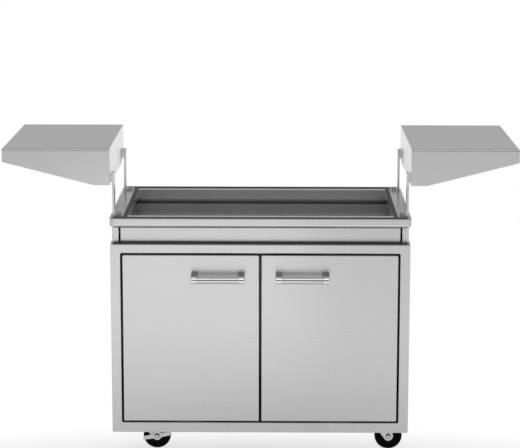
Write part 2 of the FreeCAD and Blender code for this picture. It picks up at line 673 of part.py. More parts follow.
def striker():
    """Steel plate on the right door's liner that the catch holds."""
    start = CATCH_OFFSET + (CATCH_LENGTH - STRIKER_LENGTH) / 2
    top = DOOR_TOP - SHEET
    return box(start, start + STRIKER_LENGTH, DOOR_THICKNESS, DOOR_THICKNESS + SHEET,
               top - STRIKER_HEIGHT, top)


# Side shelves and their uprights

def bent(shape, inset):
    """The shelf's outside, or its hollow when set in from it by a wall, with its bends rounded."""
    top_edges = edges_at(shape.Edges, "z", SHELF_TOP - inset)
    end_edges = edges_at(shape.Edges, "x", SHELF_END - inset)
    bends = edges_along(top_edges, ALONG_X) + edges_along(end_edges, ALONG_Z)
    return shape.makeFillet(SHELF_BEND - inset, bends + edges_at(top_edges, "x", SHELF_END - inset))


def shelf_top():
    """Right shelf: a folded sheet with a tapered fascia at the front and back and a lip at its end."""
    low, lip = SHELF_TOP - SHELF_ROOT, SHELF_TOP - SHELF_LIP
    outline = [(HALF_WIDTH, SHELF_TOP), (SHELF_END, SHELF_TOP), (SHELF_END, lip),
               (HALF_WIDTH + SHELF_ROOT_FLAT, low), (HALF_WIDTH, low)]
    shelf = plate_xz(outline, SHELF_FRONT, SHELF_BACK)
    hollow = box(HALF_WIDTH - OVER, SHELF_END - SHEET, SHELF_FRONT + SHEET, SHELF_BACK - SHEET,
                 low - OVER, SHELF_TOP - SHEET)
    return bent(shelf, 0).cut(bent(hollow, SHEET))


def shelf_root():
    """Bracket inside the right shelf: a web under its top, a plate over its inner end, notched for the
    uprights, and two cheeks that turn on the pivot rod."""
    under, low = SHELF_TOP - SHEET, SHELF_TOP - SHELF_ROOT
    front, back = CHEEK_Y, SHELF_FRONT + SHELF_BACK - CHEEK_Y
    root = box(HALF_WIDTH, HALF_WIDTH + ROOT_WEB_WIDTH, front, back, under - CHEEK_THICKNESS, under)
    end_plate = box(HALF_WIDTH, HALF_WIDTH + SHEET, SHELF_FRONT + SHEET, SHELF_BACK - SHEET, low, under)
    corners = edges_along(edges_at(end_plate.Edges, "z", under), ALONG_X)
    end_plate = end_plate.makeFillet(SHELF_BEND - SHEET, corners)
    for start, _ in upright_starts():
        end_plate = end_plate.cut(box(HALF_WIDTH - OVER, HALF_WIDTH + SHEET + OVER, start - NOTCH_MARGIN,
                                      start + UPRIGHT_DEPTH + NOTCH_MARGIN, low - OVER,
                                      ROD_Z + EAR_RADIUS + NOTCH_MARGIN))
    root = root.fuse(end_plate)
    for y in (front, back - CHEEK_THICKNESS):
        cheek = box(ROD_X - CHEEK_RADIUS, ROD_X + CHEEK_RADIUS, y, y + CHEEK_THICKNESS, ROD_Z, under)
        eye = rod(2 * CHEEK_RADIUS, (ROD_X, y, ROD_Z), (ROD_X, y + CHEEK_THICKNESS, ROD_Z))
        root = root.fuse(cheek.fuse(eye))
    hole = rod(ROD_DIAMETER + 2 * RUNNING_FIT, (ROD_X, front - OVER, ROD_Z), (ROD_X, back + OVER, ROD_Z))
    return root.cut(hole).removeSplitter()


def shelf_brace():
    """Channel under the middle of the right shelf."""
    under = SHELF_TOP - SHEET
    start, end = HALF_WIDTH + ROOT_WEB_WIDTH + BRACE_GAP, SHELF_END - SHEET - BRACE_GAP
    half = BRACE_WIDTH / 2
    brace = box(start, end, SHELF_MIDDLE - half, SHELF_MIDDLE + half, under - BRACE_HEIGHT, under)
    return brace.cut(box(start - OVER, end + OVER, SHELF_MIDDLE - half + SHEET, SHELF_MIDDLE + half - SHEET,
                         under - BRACE_HEIGHT + SHEET, under + OVER))


def upright_starts():
    """Where the front and rear uprights begin along y, and where the ear of each begins."""
    front = EAR_Y
    back = SHELF_FRONT + SHELF_BACK - EAR_Y
    return ((front, front), (back - UPRIGHT_DEPTH, back - UPRIGHT_THICKNESS))


def upright_bolt_places(side):
    """The bolts through the upright feet on one side of the rim."""
    x = side * (UPRIGHT_X - UPRIGHT_THICKNESS - (FOOT_WIDTH - UPRIGHT_THICKNESS) / 2)
    return [(x, start + UPRIGHT_DEPTH / 2 + offset) for start, _ in upright_starts()
            for offset in (-UPRIGHT_BOLT_SPACING / 2, UPRIGHT_BOLT_SPACING / 2)]


def uprights():
    """Front and rear uprights of the right shelf: a foot on the rim, a flat bar and an ear for the rod."""
    pieces = []
    top = ROD_Z + EAR_RADIUS
    for start, ear_start in upright_starts():
        end, ear_end = start + UPRIGHT_DEPTH, ear_start + UPRIGHT_THICKNESS
        bar = box(UPRIGHT_X - UPRIGHT_THICKNESS, UPRIGHT_X, start, end, RIM_TOP, top)
        foot = box(UPRIGHT_X - FOOT_WIDTH, UPRIGHT_X, start, end, RIM_TOP, RIM_TOP + FOOT_THICKNESS)
        ear = box(UPRIGHT_X, ROD_X, ear_start, ear_end, ROD_Z - EAR_RADIUS, top)
        eye = rod(2 * EAR_RADIUS, (ROD_X, ear_start, ROD_Z), (ROD_X, ear_end, ROD_Z))
        hole = rod(ROD_DIAMETER + 2 * RUNNING_FIT, (ROD_X, ear_start - OVER, ROD_Z),
                   (ROD_X, ear_end + OVER, ROD_Z))
        piece = bar.fuse([foot, ear, eye]).removeSplitter().cut(hole)
        for x, y in upright_bolt_places(1):
            piece = piece.cut(rod(UPRIGHT_BOLT + 2 * SMALL_GAP, (x, y, RIM_TOP - OVER),
                                  (x, y, RIM_TOP + FOOT_THICKNESS + OVER)))
        pieces.append(piece)
    return pieces


def pivot_rod():
    """Rod that the right shelf folds on."""
    gap = SHEET + ROD_END_GAP
    return rod(ROD_DIAMETER, (ROD_X, SHELF_FRONT + gap, ROD_Z), (ROD_X, SHELF_BACK - gap, ROD_Z))


def upright_bolts():
    """Hex bolts through the upright feet and the rim, each with its nut under the rim's top."""
    bolts = []
    head_base, nut_top = RIM_TOP + FOOT_THICKNESS, RIM_TOP - HEAVY_SHEET
    nut_base = nut_top - UPRIGHT_BOLT_NUT
    for side in (-1, 1):
        for x, y in upright_bolt_places(side):
            head = hexagon(UPRIGHT_BOLT_HEX, (x, y, head_base), (x, y, head_base + UPRIGHT_BOLT_HEAD))
            shank = rod(UPRIGHT_BOLT, (x, y, nut_base), (x, y, head_base))
            nut = hexagon(UPRIGHT_BOLT_HEX, (x, y, nut_base), (x, y, nut_top))
            bolts.append(head.fuse([shank, nut]))
    return bolts


# Casters

def caster_plate(x, y):
    """Top plate of a caster with its ball race and kingpin."""
    half = CASTER_PLATE / 2
    plate = box(x - half, x + half, y - half, y + half, PLATE_BOTTOM, FLOOR_BOTTOM)
    for bolt_x, bolt_y in caster_bolt_places(x, y):
        plate = plate.cut(rod(CASTER_BOLT_HOLE, (bolt_x, bolt_y, PLATE_BOTTOM - OVER),
                              (bolt_x, bolt_y, FLOOR_BOTTOM + OVER)))
    race = rod(RACE_DIAMETER, (x, y, RACE_BOTTOM), (x, y, PLATE_BOTTOM))
    head_top = CROWN_BOTTOM - SMALL_GAP
    kingpin = rod(KINGPIN_DIAMETER, (x, y, head_top), (x, y, RACE_BOTTOM))
    head = rod(KINGPIN_HEAD_DIAMETER, (x, y, head_top - KINGPIN_HEAD), (x, y, head_top))
    return plate.fuse([race, kingpin, head])


def caster_bolts():
    """Bolts through the floor and the caster plates, each with its nut."""
    bolts = []
    for place in caster_places().values():
        for x, y in caster_bolt_places(*place):
            head = hexagon(CASTER_BOLT_HEX, (x, y, FLOOR_TOP), (x, y, FLOOR_TOP + CASTER_BOLT_HEAD))
            nut = hexagon(CASTER_BOLT_HEX, (x, y, PLATE_BOTTOM - CASTER_BOLT_NUT), (x, y, PLATE_BOTTOM))
            shank = rod(CASTER_BOLT, (x, y, PLATE_BOTTOM - CASTER_BOLT_NUT), (x, y, FLOOR_TOP))
            bolts.append(head.fuse([shank, nut]))
    return bolts


def fork(x, y):
    """Swivelling fork: a crown on the kingpin and two slanting legs that hold the axle."""
    axle_x = x + CASTER_TRAIL
    lean = math.radians(FORK_LEAN_DEG)
    heel = (axle_x - FORK_END_RADIUS * math.cos(lean), AXLE_Z - FORK_END_RADIUS * math.sin(lean))
    outline = [(x - FORK_TAIL, CROWN_TOP), (axle_x + FORK_NOSE, CROWN_TOP),
               (axle_x + FORK_END_RADIUS, AXLE_Z), heel]
    shape = box(x - FORK_TAIL, axle_x + FORK_NOSE, y - FORK_HALF, y + FORK_HALF, CROWN_BOTTOM, CROWN_TOP)
    for start in (y - FORK_HALF, y + FORK_GAP / 2):
        end = start + FORK_PLATE
        leg = plate_xz(outline, start, end).fuse(
            rod(2 * FORK_END_RADIUS, (axle_x, start, AXLE_Z), (axle_x, end, AXLE_Z)))
        shape = shape.fuse(leg)
    axle_hole = rod(AXLE_DIAMETER + 2 * RUNNING_FIT, (axle_x, y - FORK_HALF - OVER, AXLE_Z),
                    (axle_x, y + FORK_HALF + OVER, AXLE_Z))
    king_hole = rod(KINGPIN_DIAMETER + 2 * RUNNING_FIT, (x, y, CROWN_BOTTOM - OVER), (x, y, CROWN_TOP + OVER))
    return shape.cut(axle_hole).cut(king_hole).removeSplitter()


def wheel(x, y):
    """Black wheel with rounded shoulders, a hub and a shallow recess in each side."""
    axle_x = x + CASTER_TRAIL

    def disc(diameter, half_width):
        return rod(diameter, (axle_x, y - half_width, AXLE_Z), (axle_x, y + half_width, AXLE_Z))
    tread = disc(WHEEL_DIAMETER, WHEEL_WIDTH / 2)
    tread = tread.makeFillet(WHEEL_ROUNDING, [edge for edge in tread.Edges if edge.Closed])
    web = disc(WHEEL_RECESS_OUTER, WHEEL_WIDTH / 2 - WHEEL_RECESS_DEPTH)
    recess = disc(WHEEL_RECESS_OUTER, WHEEL_WIDTH / 2 + OVER).cut(web).cut(
        disc(WHEEL_RECESS_INNER, WHEEL_WIDTH / 2 + OVER))
    hub = disc(HUB_DIAMETER, FORK_GAP / 2 - SMALL_GAP)
    return tread.cut(recess).fuse(hub).cut(disc(AXLE_DIAMETER + 2 * RUNNING_FIT, FORK_GAP)).removeSplitter()


def axle(x, y, spacer):
    """Axle bolt of one caster with its domed head in front, past a spacer's room, and its nut behind."""
    axle_x = x + CASTER_TRAIL
    head_back, nut_front = y - FORK_HALF - spacer, y + FORK_HALF
    shank = rod(AXLE_DIAMETER, (axle_x, head_back, AXLE_Z), (axle_x, nut_front, AXLE_Z))
    head_front = head_back - AXLE_HEAD_HEIGHT
    head = rod(AXLE_HEAD_DIAMETER, (axle_x, head_back, AXLE_Z), (axle_x, head_front, AXLE_Z))
    head = head.makeFillet(AXLE_HEAD_ROUNDING, edges_at(head.Edges, "y", head_front))
    nut = hexagon(AXLE_HEX, (axle_x, nut_front, AXLE_Z), (axle_x, nut_front + AXLE_HEX_HEIGHT, AXLE_Z))
    return shank.fuse([head, nut])


def brake_lever(x, y):
    """Rocking brake lever on the axle, in front of the fork, with an arm to each side."""
    axle_x = x + CASTER_TRAIL
    back = y - FORK_HALF - SMALL_GAP
    front = back - LEVER_THICKNESS
    lever = rod(LEVER_BOSS, (axle_x, front, AXLE_Z), (axle_x, back, AXLE_Z))
    for side in (-1, 1):
        tip_x, tip_z = axle_x + side * LEVER_ARM, AXLE_Z + side * LEVER_ARM_RISE
        arm = [(axle_x, AXLE_Z - LEVER_ROOT_WIDTH / 2), (tip_x, tip_z - LEVER_ARM_WIDTH / 2),
               (tip_x, tip_z + LEVER_ARM_WIDTH / 2), (axle_x, AXLE_Z + LEVER_ROOT_WIDTH / 2)]
        lever = lever.fuse(plate_xz(arm, front, back))
    hole = rod(AXLE_DIAMETER + 2 * RUNNING_FIT, (axle_x, front - OVER, AXLE_Z), (axle_x, back + OVER, AXLE_Z))
    return lever.cut(hole).removeSplitter()


def main():
    os.makedirs("parts", exist_ok=True)
    save("face_frame", face_frame())
    save("catch_rail", catch_rail())
    save_pair("side_panel", side_panel())
    save("back_panel", back_panel())
    save("floor_pan", floor_pan())
    save("top_frame", top_frame())
    save("ledge_seal", ledge_seal())
    save("cylinder_ring", cylinder_ring())
    save_pair("neck_side", neck_side())
    save("neck_back", neck_back())
    save("rim", rim())
    save("grill_seal", grill_seal())
    save_pair("tray_runner", tray_runner())
    save("tray_front", tray_front())
    save("tray_pan", tray_pan())

    save_pair("door_skin", door_skin())
    save_pair("door_liner", door_liner())
    save_pair("handle_bar", handle_bar())
    save_pair("handle_posts", Part.makeCompound(handle_posts()))
    save_pair("handle_screws", Part.makeCompound(handle_screws()))
    save_pair("hinge_pins", Part.makeCompound(hinge_pins()))
    save_pair("striker", striker())
    save("hinge_bushes", *hinge_bushes())
    save("door_catches", door_catch(), mirrored(door_catch()))

    save_pair("shelf_top", shelf_top())
    save_pair("shelf_root", shelf_root())
    save_pair("shelf_brace", shelf_brace())
    save_pair("uprights", Part.makeCompound(uprights()))
    save("pivot_rods", pivot_rod(), mirrored(pivot_rod()))
    save("upright_bolts", *upright_bolts())

    save("caster_plates", *[caster_plate(x, y) for x, y in caster_places().values()])
    save("caster_bolts", *caster_bolts())
    lever_room = LEVER_THICKNESS + 2 * SMALL_GAP
    for place, (x, y) in caster_places().items():
        braked = place in BRAKED_CASTERS
        save(f"{place}_fork", fork(x, y))
        save(f"{place}_wheel", wheel(x, y))
        save(f"{place}_axle", axle(x, y, lever_room if braked else 0))
        if braked:
            save(f"{place}_brake", brake_lever(x, y))


main()
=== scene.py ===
import json
import math

import bpy
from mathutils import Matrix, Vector


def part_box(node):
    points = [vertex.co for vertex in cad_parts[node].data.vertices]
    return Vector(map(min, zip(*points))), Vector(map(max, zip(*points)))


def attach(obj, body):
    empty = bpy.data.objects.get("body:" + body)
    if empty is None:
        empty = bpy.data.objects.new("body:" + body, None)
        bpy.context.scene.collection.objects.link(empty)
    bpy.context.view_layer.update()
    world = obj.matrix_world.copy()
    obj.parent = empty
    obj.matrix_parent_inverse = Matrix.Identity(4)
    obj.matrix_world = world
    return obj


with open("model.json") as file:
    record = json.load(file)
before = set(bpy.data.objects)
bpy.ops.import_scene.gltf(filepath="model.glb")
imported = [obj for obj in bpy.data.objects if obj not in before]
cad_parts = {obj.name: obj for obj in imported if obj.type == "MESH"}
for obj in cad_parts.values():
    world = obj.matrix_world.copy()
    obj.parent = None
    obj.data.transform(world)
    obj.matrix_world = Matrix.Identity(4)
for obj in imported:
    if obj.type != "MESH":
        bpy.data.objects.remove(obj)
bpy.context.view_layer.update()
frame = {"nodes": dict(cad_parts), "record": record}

# Camera: where the photograph was taken from, in metres and degrees
CAMERA_PLACE = (0.0506, -5.895, 1.7625)
CAMERA_PITCH = 10.66
CAMERA_YAW = 0.535
CAMERA_ROLL = -0.065
PHOTO_WIDTH = 520
FOCAL_PIXELS = 1974
SENSOR_WIDTH = 36.0

# Floor: pale, with a greyer oval in front of the doors that fades to pure white
FLOOR_SIDE, FLOOR_FRONT, FLOOR_BACK = 60.0, -10.0, 60.0
FLOOR_PALE = (0.88, 0.88, 0.88, 1)
GREY_MIDDLE = (0.0, -0.6, 0.0)
GREY_SHAPE = (0.4, 1.0, 1.0)
WHITE_FROM, WHITE_BY = 0.1, 0.65
LEAST_WHITE = 0.24

# Studio: its brightness all round and in front, and the parts of a direction that bound the dim front
SKY_ROUND, SKY_FRONT = 0.54, 0.18
DIM_BY, DIM_FROM = -0.8, -0.35
LAMP_FROM, LAMP_BY = 0.6, 0.75

# Lamps: where they hang, what they face, their size in metres and their power
OVERHEAD_LAMP = {"place": (0.0, -3.2, 4.2), "target": (0.0, -3.2, 0.0),
                 "width": 7.0, "height": 2.6, "watts": 63}
LOW_LEFT_LAMP = {"place": (-0.27, -1.85, 0.26), "target": (-0.27, 0.0, 0.26),
                 "width": 0.9, "height": 0.5, "watts": 0.46}

# Noise: the range that holds most of its values
NOISE_LOW, NOISE_HIGH = 0.3, 0.7

# Painted shade on bends and rounded edges: how far a normal leans from the nearest axis, as a cosine,
# and what the finish keeps of its brightness there
LEANING, LEVEL = 0.88, 0.985
SHEET_BEND_SHADE, ZINC_BEND_SHADE = 0.78, 0.3

# Fine relief of each finish: how strongly it shows, and its depth in metres
SHEET_RELIEF = (0.003, 0.0001)
BAR_RELIEF = (0.03, 0.0001)
POST_RELIEF = (0.04, 0.0001)
ZINC_RELIEF = (0.08, 0.0002)
MOULDING_RELIEF = (0.2, 0.0003)

# Brushed sheet: streaks, bands and clouds per metre, what each adds to the tone, how the streaks change
# the roughness, which faces count as sides, and the direction across the grain
GRAIN_ALONG, GRAIN_ACROSS = 9.0, 1400.0
BAND_ALONG, BAND_ACROSS = 0.4, 24.0
CLOUDS = 5.0
STREAK_SHARE, BAND_SHARE, CLOUD_SHARE = 0.5, 0.2, 0.3
STREAK_LOW, STREAK_HIGH = 0.25, 0.75
STREAK_GLOSS = 0.015
FACING_SIDE = 0.7
ACROSS_THE_GRAIN = (0.0, 0.25, 1.0)

# Polished bar: polishing lines per metre along and across it, smears per metre, and its roughness
BAR_LINES = (30.0, 900.0, 900.0)
BAR_SMEARS = 35.0
BAR_ROUGHNESS = (0.02, 0.05)

# Handle posts: the length of the rough stem that carries painted shade, and its blend into the polished
# collar, in metres, pits per metre, how much the pits mottle the tone, and the roughness of collar and
# stem
POST_LENGTH, POST_BLEND = 0.038, 0.002
POST_PITS, POST_MOTTLE = 900.0, 0.04
COLLAR_ROUGHNESS, STEM_ROUGHNESS = 0.03, 0.3

# Zinc plating: patches and grit per metre, its tones and its roughness
ZINC_PATCHES, ZINC_GRIT = 140.0, 900.0
ZINC_DARK, ZINC_LIGHT = (0.60, 0.61, 0.63), (0.78, 0.78, 0.78)
ZINC_ROUGHNESS = (0.24, 0.42)

# Black mouldings: patches of bloom per metre, and how much smoother and rougher they get
BLOOM_PATCHES = 28.0
BLOOM_SMOOTHER, BLOOM_ROUGHER = 0.08, 0.1

# Rivets: their heads, how far from an edge they sit, and how many spaces along the two sides of a panel
RIVET_DIAMETER, RIVET_HEIGHT = 0.009, 0.0016
RIVET_SEGMENTS, RIVET_RINGS = 14, 8
RIVET_INSET = 0.011
BACK_RIVETS = (8, 5)
DOOR_RIVETS = (4, 5)
FACING_BACK = (math.radians(-90), 0, 0)


# Node helpers

def node(tree, kind, inputs=None, **settings):
    """Add a node. An input that is given another node's output is linked, any other is set."""
    made = tree.nodes.new(kind)
    for name, value in settings.items():
        setattr(made, name, value)
    for name, value in (inputs or {}).items():
        if isinstance(value, bpy.types.NodeSocket):
            tree.links.new(value, made.inputs[name])
        else:
            made.inputs[name].default_value = value
    return made


def math_node(tree, operation, first, second=0.0, clamp=False):
    """The result of one sum."""
    made = node(tree, "ShaderNodeMath", {0: first, 1: second}, operation=operation, use_clamp=clamp)
    return made.outputs[0]


def parts_of(tree, vector):
    """The three parts of a vector."""
    return node(tree, "ShaderNodeSeparateXYZ", {0: vector}).outputs


def spread(tree, value, low, high, low_out, high_out):
    """A value taken from one range to another, held at its ends."""
    inputs = {"Value": value, "From Min": low, "From Max": high, "To Min": low_out, "To Max": high_out}
    return node(tree, "ShaderNodeMapRange", inputs).outputs["Result"]


def noise(tree, place, scale, detail=2.0, stretch=None):
    """Noise at a place, finer along some axes where it is stretched along the others."""
    if stretch:
        place = node(tree, "ShaderNodeMapping", {"Vector": place, "Scale": stretch}).outputs["Vector"]
    inputs = {"Vector": place, "Scale": scale, "Detail": detail}
    return node(tree, "ShaderNodeTexNoise", inputs).outputs["Fac"]


def vary(tree, pattern, low_out, high_out):
    """A noise pattern taken from the range of most of its values to another."""
    return spread(tree, pattern, NOISE_LOW, NOISE_HIGH, low_out, high_out)


def two_tone(tree, factor, first, second):
    """A colour between two tones."""
    ramp = node(tree, "ShaderNodeValToRGB", {"Fac": factor})
    ramp.color_ramp.elements[0].color = (*first, 1)
    ramp.color_ramp.elements[1].color = (*second, 1)
    return ramp.outputs["Color"]


def new_material(name, constants):
    """An empty material with a Principled shader, whose constant values are set on its own sockets."""
    material = bpy.data.materials.new(name)
    material.use_nodes = True
    tree = material.node_tree
    shader = tree.nodes["Principled BSDF"]
    for socket, value in constants.items():
        shader.inputs[socket].default_value = value
    return material, tree, shader


def object_place(tree):
    """Object coordinates and the object's own normals."""
    coordinates = node(tree, "ShaderNodeTexCoord")
    return coordinates.outputs["Object"], coordinates.outputs["Normal"]


def painted_bend_shade(tree, colour, normal, least):
    """A colour darkened with painted shade on bends and rounded edges, where the normal leans away from
    every axis.
    """
    along = node(tree, "ShaderNodeVectorMath", {0: normal}, operation="ABSOLUTE").outputs["Vector"]
    x, y, z = parts_of(tree, along)
    straightest = math_node(tree, "MAXIMUM", math_node(tree, "MAXIMUM", x, y), z)
    share = spread(tree, straightest, LEANING, LEVEL, least, 1.0)
    bend_shaded = node(tree, "ShaderNodeVectorMath", {0: colour, "Scale": share}, operation="SCALE")
    return bend_shaded.outputs["Vector"]


def link_surface(tree, shader, colour, roughness, height, relief):
    """Lead a finish's colour, roughness and fine relief into its shader."""
    strength, depth = relief
    bump = node(tree, "ShaderNodeBump", {"Height": height, "Strength": strength, "Distance": depth})
    surface = {"Base Color": colour, "Roughness": roughness, "Normal": bump.outputs["Normal"]}
    for socket, value in surface.items():
        tree.links.new(value, shader.inputs[socket])


# Finishes

def brush_marks(tree, place, faces_side, along, across):
    """Marks that run level along a face, whichever way it faces."""
    level = noise(tree, place, 1.0, detail=3.0, stretch=(along, across, across))
    side = noise(tree, place, 1.0, detail=3.0, stretch=(across, along, across))
    return node(tree, "ShaderNodeMix", {"Factor": faces_side, "A": level, "B": side}).outputs["Result"]


def brushed_sheet(name, dark, light, roughness, anisotropic):
    """Brushed stainless sheet: fine level streaks, faint wider bands and clouds, and painted shade on
    the bends.
    """
    material, tree, shader = new_material(name, {"Metallic": 1.0, "Anisotropic": anisotropic})
    place, normal = object_place(tree)
    sideways = math_node(tree, "ABSOLUTE", parts_of(tree, normal)["X"])
    faces_side = math_node(tree, "GREATER_THAN", sideways, FACING_SIDE)
    streak = brush_marks(tree, place, faces_side, GRAIN_ALONG, GRAIN_ACROSS)
    band = brush_marks(tree, place, faces_side, BAND_ALONG, BAND_ACROSS)
    cloud = noise(tree, place, CLOUDS)
    tone = math_node(tree, "MULTIPLY", streak, STREAK_SHARE)
    for pattern, share in ((band, BAND_SHARE), (cloud, CLOUD_SHARE)):
        tone = math_node(tree, "ADD", tone, math_node(tree, "MULTIPLY", pattern, share))
    colour = two_tone(tree, vary(tree, tone, 0.0, 1.0), dark, light)
    # Painted shade: the bends and rounded edges of the sheet are made darker
    colour = painted_bend_shade(tree, colour, normal, SHEET_BEND_SHADE)
    gloss = spread(tree, streak, STREAK_LOW, STREAK_HIGH,
                   roughness - STREAK_GLOSS, roughness + STREAK_GLOSS)
    link_surface(tree, shader, colour, gloss, streak, SHEET_RELIEF)
    across = node(tree, "ShaderNodeCombineXYZ", dict(zip("XYZ", ACROSS_THE_GRAIN)))
    turned = node(tree, "ShaderNodeVectorTransform", {"Vector": across.outputs["Vector"]},
                  vector_type="VECTOR", convert_from="OBJECT", convert_to="WORLD")
    tree.links.new(turned.outputs["Vector"], shader.inputs["Tangent"])
    return material


def polished_bar(name, dark, light):
    """Polished stainless: nearly a mirror, with fine polishing lines."""
    material, tree, shader = new_material(name, {"Metallic": 1.0})
    place, _ = object_place(tree)
    lines = noise(tree, place, 1.0, detail=3.0, stretch=BAR_LINES)
    smear = noise(tree, place, BAR_SMEARS)
    roughness = vary(tree, smear, *BAR_ROUGHNESS)
    link_surface(tree, shader, two_tone(tree, lines, dark, light), roughness, lines, BAR_RELIEF)
    return material


def cast_posts(name, shaded_stem, polished):
    """Cast handle posts: a rough satin stem on the door, its dark tone painted shade, and a polished
    collar that holds the bar.
    """
    material, tree, shader = new_material(name, {"Metallic": 1.0})
    place, _ = object_place(tree)
    stem_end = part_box("left_door_skin")[0].y - POST_LENGTH
    stem = spread(tree, parts_of(tree, place)["Y"], stem_end - POST_BLEND, stem_end, 0.0, 1.0)
    pits = noise(tree, place, POST_PITS, detail=3.0)
    tone = math_node(tree, "ADD", stem, vary(tree, pits, -POST_MOTTLE, POST_MOTTLE))
    # Painted shade: the stem is coloured much darker than the collar
    colour = two_tone(tree, tone, polished, shaded_stem)
    roughness = spread(tree, tone, 0.0, 1.0, COLLAR_ROUGHNESS, STEM_ROUGHNESS)
    link_surface(tree, shader, colour, roughness, pits, POST_RELIEF)
    return material


def zinc_plating(name):
    """Bright zinc on pressed steel: patchy gloss, a slight blue cast, and painted shade on rounded
    edges.
    """
    material, tree, shader = new_material(name, {"Metallic": 1.0})
    place, normal = object_place(tree)
    patch = noise(tree, place, ZINC_PATCHES, detail=4.0)
    grit = noise(tree, place, ZINC_GRIT)
    colour = two_tone(tree, patch, ZINC_DARK, ZINC_LIGHT)
    # Painted shade: the rounded edges of the zinc are made darker
    colour = painted_bend_shade(tree, colour, normal, ZINC_BEND_SHADE)
    link_surface(tree, shader, colour, vary(tree, patch, *ZINC_ROUGHNESS), grit, ZINC_RELIEF)
    return material


def dark_moulding(name, dark, light, skin_scale, roughness, shine):
    """Black rubber, nylon or plating: a fine skin with uneven gloss."""
    material, tree, shader = new_material(name, {"Specular IOR Level": shine})
    place, _ = object_place(tree)
    skin = noise(tree, place, skin_scale, detail=3.0)
    bloom = noise(tree, place, BLOOM_PATCHES, detail=3.0)
    colour = two_tone(tree, bloom, dark, light)
    gloss = vary(tree, bloom, roughness - BLOOM_SMOOTHER, roughness + BLOOM_ROUGHER)
    link_surface(tree, shader, colour, gloss, skin, MOULDING_RELIEF)
    return material


def grey(level):
    """A plain grey."""
    return level, level, level


def finishes():
    """The finish of each material slot of the record."""
    return {
        "brushed_stainless": brushed_sheet("brushed_stainless", dark=grey(0.664), light=grey(0.685),
                                           roughness=0.28, anisotropic=0.65),
        "inner_stainless": brushed_sheet("inner_stainless", dark=grey(0.38), light=grey(0.48),
                                         roughness=0.42, anisotropic=0.3),
        "polished_stainless": polished_bar("polished_stainless", dark=grey(0.63), light=grey(0.69)),
        "zinc_plate": zinc_plating("zinc_plate"),
        "black_zinc": dark_moulding("black_zinc", dark=grey(0.01), light=grey(0.025),
                                    skin_scale=900.0, roughness=0.45, shine=0.3),
        # The black rubber also colours the seal strips on the ledge under the neck and on the rim top:
        # painted shade, dark strips set where there is only a shade gap and a shade line
        "black_rubber": dark_moulding("black_rubber", dark=grey(0.038), light=grey(0.064),
                                      skin_scale=1500.0, roughness=0.6, shine=0.5),
        "wheel_rubber": dark_moulding("wheel_rubber", dark=grey(0.001), light=grey(0.004),
                                      skin_scale=700.0, roughness=0.55, shine=0.08),
        "black_plastic": dark_moulding("black_plastic", dark=grey(0.02), light=grey(0.04),
                                       skin_scale=2200.0, roughness=0.42, shine=0.4),
    }


def dress_nodes(finish_of):
    """Give every CAD node the finish of its slot, and the handle posts their own."""
    # The stem's dark grey is painted shade, for the dark the stem shows next to the door
    posts = cast_posts("handle_posts", shaded_stem=grey(0.3), polished=grey(0.82))
    for row in frame["record"]["subparts"]:
        finish = posts if row["node"].endswith("handle_posts") else finish_of[row["material_slot"]]
        for slot in frame["nodes"][row["node"]].material_slots:
            slot.material = finish


# Rivets round the edge of the back and of the door liners

def rivet_head(tree, size):
    """A round dome one unit across, flat below, and the scale that makes it a rivet's head."""
    ball = node(tree, "GeometryNodeMeshUVSphere",
                {"Segments": RIVET_SEGMENTS, "Rings": RIVET_RINGS, "Radius": 0.5}).outputs["Mesh"]
    x, y, z = parts_of(tree, node(tree, "GeometryNodeInputPosition").outputs["Position"])
    above = math_node(tree, "MAXIMUM", z, 0.0)
    flat_based = node(tree, "ShaderNodeCombineXYZ", {"X": x, "Y": y, "Z": above}).outputs["Vector"]
    dome = node(tree, "GeometryNodeSetPosition", {"Geometry": ball, "Position": flat_based})
    across = size["Head Diameter"]
    tall = math_node(tree, "MULTIPLY", size["Head Height"], 2.0)
    scale = node(tree, "ShaderNodeCombineXYZ", {"X": across, "Y": across, "Z": tall}).outputs["Vector"]
    return dome.outputs["Geometry"], scale


def rivet_tree(finish):
    """Dome-headed rivets spaced evenly round an upright rectangle that faces back."""
    tree = bpy.data.node_groups.new("rivets", "GeometryNodeTree")
    tree.interface.new_socket("Geometry", in_out="OUTPUT", socket_type="NodeSocketGeometry")
    for name in ("Width", "Height", "Spacing", "Head Diameter", "Head Height"):
        tree.interface.new_socket(name, in_out="INPUT", socket_type="NodeSocketFloat")
    tree.interface.new_socket("Middle", in_out="INPUT", socket_type="NodeSocketVector")
    size = node(tree, "NodeGroupInput").outputs
    line = node(tree, "GeometryNodeCurvePrimitiveQuadrilateral",
                {"Width": size["Width"], "Height": size["Height"]}).outputs["Curve"]
    places = node(tree, "GeometryNodeResampleCurve",
                  {"Curve": line, "Length": size["Spacing"]}, mode="LENGTH").outputs["Curve"]
    head, scale = rivet_head(tree, size)
    heads = node(tree, "GeometryNodeInstanceOnPoints",
                 {"Points": places, "Instance": head, "Scale": scale}).outputs["Instances"]
    upright = node(tree, "GeometryNodeTransform",
                   {"Geometry": heads, "Translation": size["Middle"], "Rotation": FACING_BACK})
    solid = node(tree, "GeometryNodeRealizeInstances", {"Geometry": upright.outputs["Geometry"]})
    dressed = node(tree, "GeometryNodeSetMaterial",
                   {"Geometry": solid.outputs["Geometry"], "Material": finish})
    tree.links.new(dressed.outputs["Geometry"], node(tree, "NodeGroupOutput").inputs["Geometry"])
    return tree


